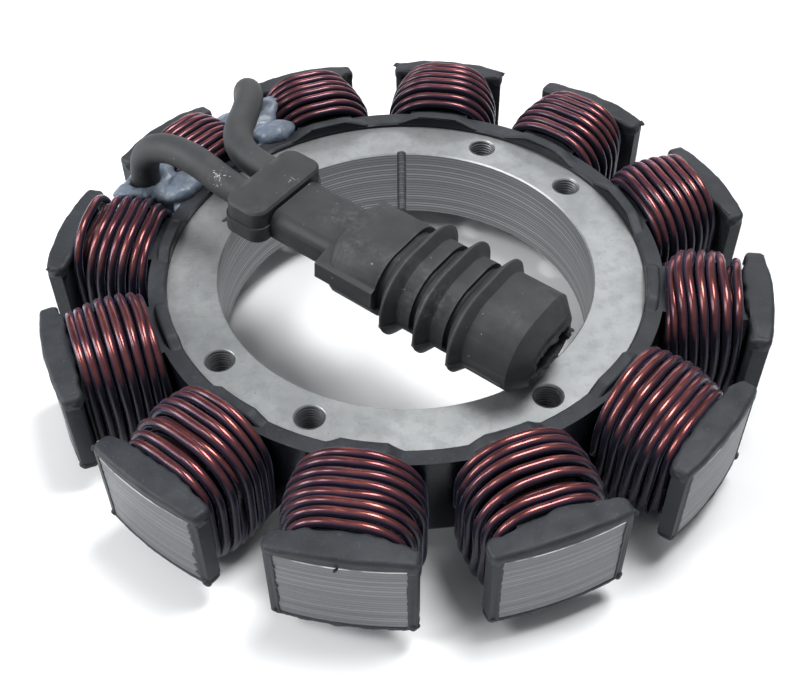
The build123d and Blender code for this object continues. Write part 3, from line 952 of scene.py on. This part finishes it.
def hump_section(across, seed, reach):
    """The rim's section in front of a coil, where it swells up to the hump's crest."""
    share = min(max((reach - HUMP_FOOT - abs(across)) / (reach - HUMP_CROWN), 0.0), 1.0)
    rise = HUMP_RISE * share * share * (3 - 2 * share)
    inner = math.sqrt(HUMP_INNER**2 - across**2) - 0.10
    outer = math.sqrt(HUMP_OUTER**2 - across**2)
    top = RIM_TOP + 0.07 + rise + lump((across, seed * 5.0, 2.0), 2.4, 0.12)
    return rounded_section(inner, outer, RIM_TOP - HUMP_SINK, top, HUMP_CORNER, 5, 3)


humps = bmesh.new()
for index in COIL_CRESTS:
    reach = WIDE_HUMP_REACH if index in WIDE_HUMPS else HUMP_REACH
    hump_at = partial(hump_section, seed=index, reach=reach)
    bar(humps, pole_angle(index), reach, hump_at, 1.6, 0.05, index + 40)
as_piece("rim_humps", humps, "overmould_plastic")


# -------------------- threads in the screw holes
BOLT_RADIUS = 38.1
HOLE_ANGLES = (36, 66, 126, 216, 246, 306)
HOLE_RADIUS = 2.4
THREAD_PITCH = 0.6
THREAD_DEPTH = 0.24
THREAD_SIDES = 30
THREAD_INSET = 0.04
THREAD_PLAY = 0.01
THREAD_FADE = 0.5
ROWS_PER_PITCH = 5

threads = bmesh.new()
thread_half = HALF_STACK - THREAD_INSET
row_count = round(2 * thread_half / THREAD_PITCH * ROWS_PER_PITCH)
for hole in HOLE_ANGLES:
    turn = math.radians(hole)
    centre = Vector((BOLT_RADIUS * math.cos(turn), BOLT_RADIUS * math.sin(turn), 0))
    rows = []
    for row in range(row_count + 1):
        z = -HALF_STACK + THREAD_INSET + row * 2 * thread_half / row_count
        fade = min(1.0, (HALF_STACK - abs(z)) / THREAD_FADE)
        ring = []
        for step in range(THREAD_SIDES):
            a = 2 * math.pi * step / THREAD_SIDES
            phase = (z / THREAD_PITCH - step / THREAD_SIDES) % 1.0
            groove = 1 - abs(2 * phase - 1)
            radius = HOLE_RADIUS - THREAD_PLAY - THREAD_DEPTH * fade * groove
            place = centre + Vector((radius * math.cos(a), radius * math.sin(a), z))
            ring.append(threads.verts.new(place * MM))
        rows.append(ring[::-1])
    skin(threads, rows)
as_piece("screw_threads", threads, "lamination_steel")


# -------------------- sealant
SEALANT_VOXEL = 0.42
SEALANT_SMOOTHING = 14
SEALANT_RISE = 0.7
SEALANT_SPREAD = 0.3
SEALANT_SWELL = 0.25
SEALANT_FOLDS = 0.34
FOLD_WIDTH = 3.2
FOLD_BEND = 1.4
FOLD_BEND_WIDTH = 2.5


def grown_mesh(node, skirt):
    """A node's mesh and an ellipsoid, made into one soft skin of even faces."""
    radius, skirt_angle, height, sizes = skirt
    turn = math.radians(skirt_angle)
    source_mesh = node.data.copy()
    mesh = bmesh.new()
    mesh.from_mesh(source_mesh)
    centre = Vector((radius * math.cos(turn), radius * math.sin(turn), height)) * MM
    shape = Matrix.Translation(centre) @ Matrix.Rotation(turn, 4, "Z") @ Matrix.Diagonal((*(Vector(sizes) * MM), 1))
    bmesh.ops.create_icosphere(mesh, subdivisions=3, radius=1.0, matrix=shape)
    mesh.to_mesh(source_mesh)
    mesh.free()
    source = new_object("sealant_source", source_mesh)
    remesh = source.modifiers.new("remesh", "REMESH")
    remesh.mode = "VOXEL"
    remesh.voxel_size = SEALANT_VOXEL * MM
    smooth = source.modifiers.new("smooth", "SMOOTH")
    smooth.iterations = SEALANT_SMOOTHING
    grown = bpy.data.meshes.new_from_object(source.evaluated_get(bpy.context.evaluated_depsgraph_get()))
    bpy.data.objects.remove(source)
    return grown


def wrinkled(name, node_name, seed, sag, skirt):
    """A soft wrinkled lump that stands for a plain solid, with a skirt smeared over the next coil."""
    mesh = bmesh.new()
    mesh.from_mesh(grown_mesh(nodes[node_name], skirt))
    middle = sum((vertex.co for vertex in mesh.verts), Vector()) / len(mesh.verts)
    outwards = Vector((middle.x, middle.y, 0)).normalized()
    sideways = Vector((-outwards.y, outwards.x, 0))
    for vertex in mesh.verts:
        away = vertex.co - middle
        high_share = min(max(away.z / (4 * MM), 0.0), 1.0)
        out_share = min(max(outwards.dot(away) / (6 * MM), -1.0), 1.0)
        lift = (SEALANT_RISE - sag * max(out_share, 0.0)) * MM
        vertex.co += high_share * (sideways * sideways.dot(away) * SEALANT_SPREAD + Vector((0, 0, lift)))
    mesh.normal_update()
    moves = []
    for vertex in mesh.verts:
        place = vertex.co / MM
        bend_x = lump(place, FOLD_BEND_WIDTH, FOLD_BEND)
        bend_y = lump(place + Vector((40, 0, 0)), FOLD_BEND_WIDTH, FOLD_BEND)
        ridge = 1 - abs(waves((place + Vector((bend_x, bend_y, 0))) / FOLD_WIDTH + Vector((seed, 0, 0)))) * 2.4
        fine = waves(place / 1.2)
        moves.append(vertex.normal * (SEALANT_SWELL + SEALANT_FOLDS * (ridge + 0.3 * fine)) * MM)
    for vertex, move in zip(mesh.verts, moves):
        vertex.co += move
    for face in mesh.faces:
        face.smooth = True
        face.material_index = 0
    piece = as_piece(name, mesh, "sealant")
    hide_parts(node_name)


wrinkled("sealant_lump_a", "sealant_a", 3, 0.4, (46.9, 152.8, 8.9, (2.7, 4.4, 1.5)))
wrinkled("sealant_lump_b", "sealant_b", 8, 2.2, (46.2, 123.6, 8.5, (2.4, 3.4, 1.5)))


# -------------------- plug: torn mouth, parting seam and boss front
PLUG_ORIGIN = Vector((-19.23, 2.01, 18.8))
PLUG_HEADING = math.radians(-35.8)
PLUG_DROOP = math.radians(4.5)
plug_across = Vector((-math.sin(PLUG_HEADING), math.cos(PLUG_HEADING), 0))
plug_run = math.cos(PLUG_DROOP)
plug_axis = Vector((plug_run * math.cos(PLUG_HEADING), plug_run * math.sin(PLUG_HEADING), -math.sin(PLUG_DROOP)))
plug_up = plug_axis.cross(plug_across)
# The plug's outline along its axis: place, width, height and corner radius.
PLUG_PROFILE = [
    (15.2, 18.4, 12.8, 6.3),
    (23.5, 18.4, 12.8, 6.3),
    (23.6, 15.8, 11.6, 5.7),
    (24.5, 15.8, 11.6, 5.7),
    (26.3, 22.2, 16.2, 7.9),
    (26.65, 22.2, 16.2, 7.9),
    (27.95, 17.7, 13.4, 6.6),
    (30.45, 17.7, 13.4, 6.6),
    (30.95, 15.8, 11.6, 5.7),
    (32.75, 22.2, 16.2, 7.9),
    (33.1, 22.2, 16.2, 7.9),
    (34.4, 17.7, 13.4, 6.6),
    (36.9, 17.7, 13.4, 6.6),
    (37.4, 15.8, 11.6, 5.7),
    (39.2, 22.2, 16.2, 7.9),
    (39.55, 22.2, 16.2, 7.9),
    (40.85, 18.6, 14.0, 6.6),
    (48.85, 18.6, 14.0, 6.6),
]
PLUG_TIP = 51.45
OUTLINE_STEPS = 8


def plug_point(across, up, along):
    """A point given along the plug's own axes, in metres."""
    return (PLUG_ORIGIN + plug_across * across + plug_up * up + plug_axis * along) * MM


def outline(width, height, corner):
    """Points of a rounded rectangle across the plug."""
    return rounded_section(-width / 2, width / 2, -height / 2, height / 2, corner, OUTLINE_STEPS, OUTLINE_STEPS)


def outline_place(share, points):
    """A point and its outward direction on an outline, at a share of the way round."""
    place = (share % 1.0) * len(points)
    index = int(place)
    t = place - index
    (x0, z0), (x1, z1) = points[index], points[(index + 1) % len(points)]
    out = Vector((z1 - z0, x0 - x1)).normalized()
    return Vector((x0 + (x1 - x0) * t, z0 + (z1 - z0) * t)), out


# The torn rim of the mouth, with two tags: share of the way round, length and seed.
MOUTH = outline(10.8, 5.2, 2.2)
MOUTH_STATIONS = 120
MOUTH_TAGS = ((0.98, 1.0, 1), (0.52, 0.7, 3))

torn = bmesh.new()
rows = []
for station in range(MOUTH_STATIONS):
    place, out = outline_place(station / MOUTH_STATIONS, MOUTH)
    spot = Vector((place.x, place.y, 0))
    height = 0.3 + 0.8 * peaks(spot / 1.6) + 0.7 * peaks(spot / 0.85 + Vector((9, 0, 0)))
    reach = 0.65 + 0.35 * waves(spot / 1.1 + Vector((0, 20, 0)))
    inside = 0.25 + 0.9 * peaks(spot / 1.2 + Vector((30, 0, 0)))
    section = (
        (place + out * reach, -0.12),
        (place + out * reach * 0.6, height * 0.6),
        (place + out * reach * 0.1, height),
        (place - out * inside, height * 0.7),
        (place - out * inside * 1.1, height * 0.1),
        (place - out * 0.05, -1.3),
    )
    rows.append([torn.verts.new(plug_point(at.x, at.y, PLUG_TIP + along)) for at, along in section])
skin(torn, rows + rows[:1], closed=False)
for share, length, seed in MOUTH_TAGS:
    place, out = outline_place(share, MOUTH)
    start = plug_point(place.x, place.y, PLUG_TIP - 0.2)
    end = place + out * 0.5 * length
    burr(torn, start, plug_point(end.x, end.y, PLUG_TIP + length * 0.9), 0.45, seed)
as_piece("torn_mouth", torn, "plug_rubber")

# The mould's parting seam along the plug's side, and a tag of flash behind the neck.
SEAM_LEVEL = -2.4
SEAM_STEP = 0.4
SEAM_RADIUS = 0.26
SEAM_SINK = 0.06
SEAM_WANDER = 0.12

seams = bmesh.new()
seam_points = []
for (along0, *first), (along1, *second) in zip(PLUG_PROFILE, PLUG_PROFILE[1:]):
    steps = max(2, round((along1 - along0) / SEAM_STEP))
    for step in range(steps):
        t = step / steps
        width, height, corner = (a + (b - a) * t for a, b in zip(first, second))
        drop = max(0.0, abs(SEAM_LEVEL) - (height / 2 - corner))
        edge = width / 2 - corner + math.sqrt(corner**2 - drop**2)
        along = along0 + (along1 - along0) * t
        wander = SEAM_WANDER * waves((along / 1.5, 3.0, 0.0))
        seam_points.append(plug_point(-edge + SEAM_SINK, SEAM_LEVEL + wander, along))
tube(seams, seam_points, SEAM_RADIUS * MM, sides=6)
burr(seams, plug_point(-8.2, -0.2, -7.5), plug_point(-9.1, -0.7, -8.4), 0.4, 4)
as_piece("parting_seam", seams, "plug_rubber")

# The rounded front of the boss, which bulges over the shoulder.
BOSS_START, BOSS_WIDTH, BOSS_HEIGHT, BOSS_CORNER = PLUG_PROFILE[0]
BOSS_ROUND = 1.3
BOSS_BULGE = 0.9
BOSS_STEPS = 8

front = bmesh.new()
front_places = [
    (BOSS_ROUND * (1 - math.sin(turn)) - 0.01, math.cos(turn))
    for turn in (math.pi / 2 * step / BOSS_STEPS for step in range(BOSS_STEPS + 1))
]
front_places.append((0.06, -0.35))
rings = []
for inset, ahead in front_places:
    ring = []
    for x, z in outline(BOSS_WIDTH, BOSS_HEIGHT, BOSS_CORNER):
        bulge = BOSS_ROUND + BOSS_BULGE * (1 - (2 * x / BOSS_WIDTH) ** 2)
        across = x * (1 - 2 * inset / BOSS_WIDTH)
        up = z * (1 - 2 * inset / BOSS_HEIGHT)
        ring.append(front.verts.new(plug_point(across, up, BOSS_START - bulge * ahead)))
    rings.append(ring)
skin(front, rings, turned=True)
lids(front, rings, turned=True)
bmesh.ops.recalc_face_normals(front, faces=front.faces)
as_piece("boss_front", front, "plug_rubber")


# -------------------- floor and light
FLOOR_CORNERS = [(-3, -3, 0), (3, -3, 0), (3, 3, 0), (-3, 3, 0)]
SKY_BELOW = (0.16, 0.17, 0.19, 1)
SKY_ABOVE = (0.95, 0.98, 1.0, 1)
SKY_ABOVE_FROM = 0.7
SKY_STRENGTH = 0.34


def floor_material():
    """A pale matt floor with hardly any grain."""
    s = Shader("floor")
    grain = s.noise(40, 3, 0.5)
    s.set(Base_Color=s.ramp(grain, (0.3, (0.80, 0.805, 0.81)), (0.7, (0.84, 0.845, 0.85))), Roughness=0.8)
    return s.material


floor_mesh = bpy.data.meshes.new("floor")
floor_mesh.from_pydata(FLOOR_CORNERS, [], [(0, 1, 2, 3)])
floor_mesh.materials.append(floor_material())
floor = new_object("floor", floor_mesh)
floor.location.z = cad_bounds[0][2]

world = bpy.data.worlds.new("studio")
world.use_nodes = True
sky = world.node_tree
direction = sky.nodes.new("ShaderNodeTexCoord")
axes = sky.nodes.new("ShaderNodeSeparateXYZ")
sky.links.new(direction.outputs["Generated"], axes.inputs[0])
fade = sky.nodes.new("ShaderNodeValToRGB")
sky.links.new(axes.outputs["Z"], fade.inputs["Fac"])
fade.color_ramp.elements[0].color = SKY_BELOW
fade.color_ramp.elements[1].color = SKY_ABOVE
fade.color_ramp.elements[1].position = SKY_ABOVE_FROM
sky.links.new(fade.outputs[0], sky.nodes["Background"].inputs["Color"])
sky.nodes["Background"].inputs["Strength"].default_value = SKY_STRENGTH
scene.world = world


def panel(name, place, size, energy):
    """A soft rectangular light that faces the middle of the part."""
    data = bpy.data.lights.new(name, "AREA")
    data.shape = "RECTANGLE"
    data.size, data.size_y = size
    data.energy = energy
    light = new_object(name, data)
    light.location = place
    light.rotation_euler = (-Vector(place)).to_track_quat("-Z", "Y").to_euler()


panel("top_panel", (0.20, 0.08, 0.70), (0.26, 0.26), 5.4)
panel("back_panel", (0.10, 0.80, 0.30), (0.70, 0.30), 1.6)
panel("front_panel", (-0.42, -0.20, 0.58), (0.20, 0.20), 2.2)
panel("left_panel", (-0.70, -0.05, 0.30), (0.30, 0.30), 4.4)
scene.view_settings.view_transform = "Standard"
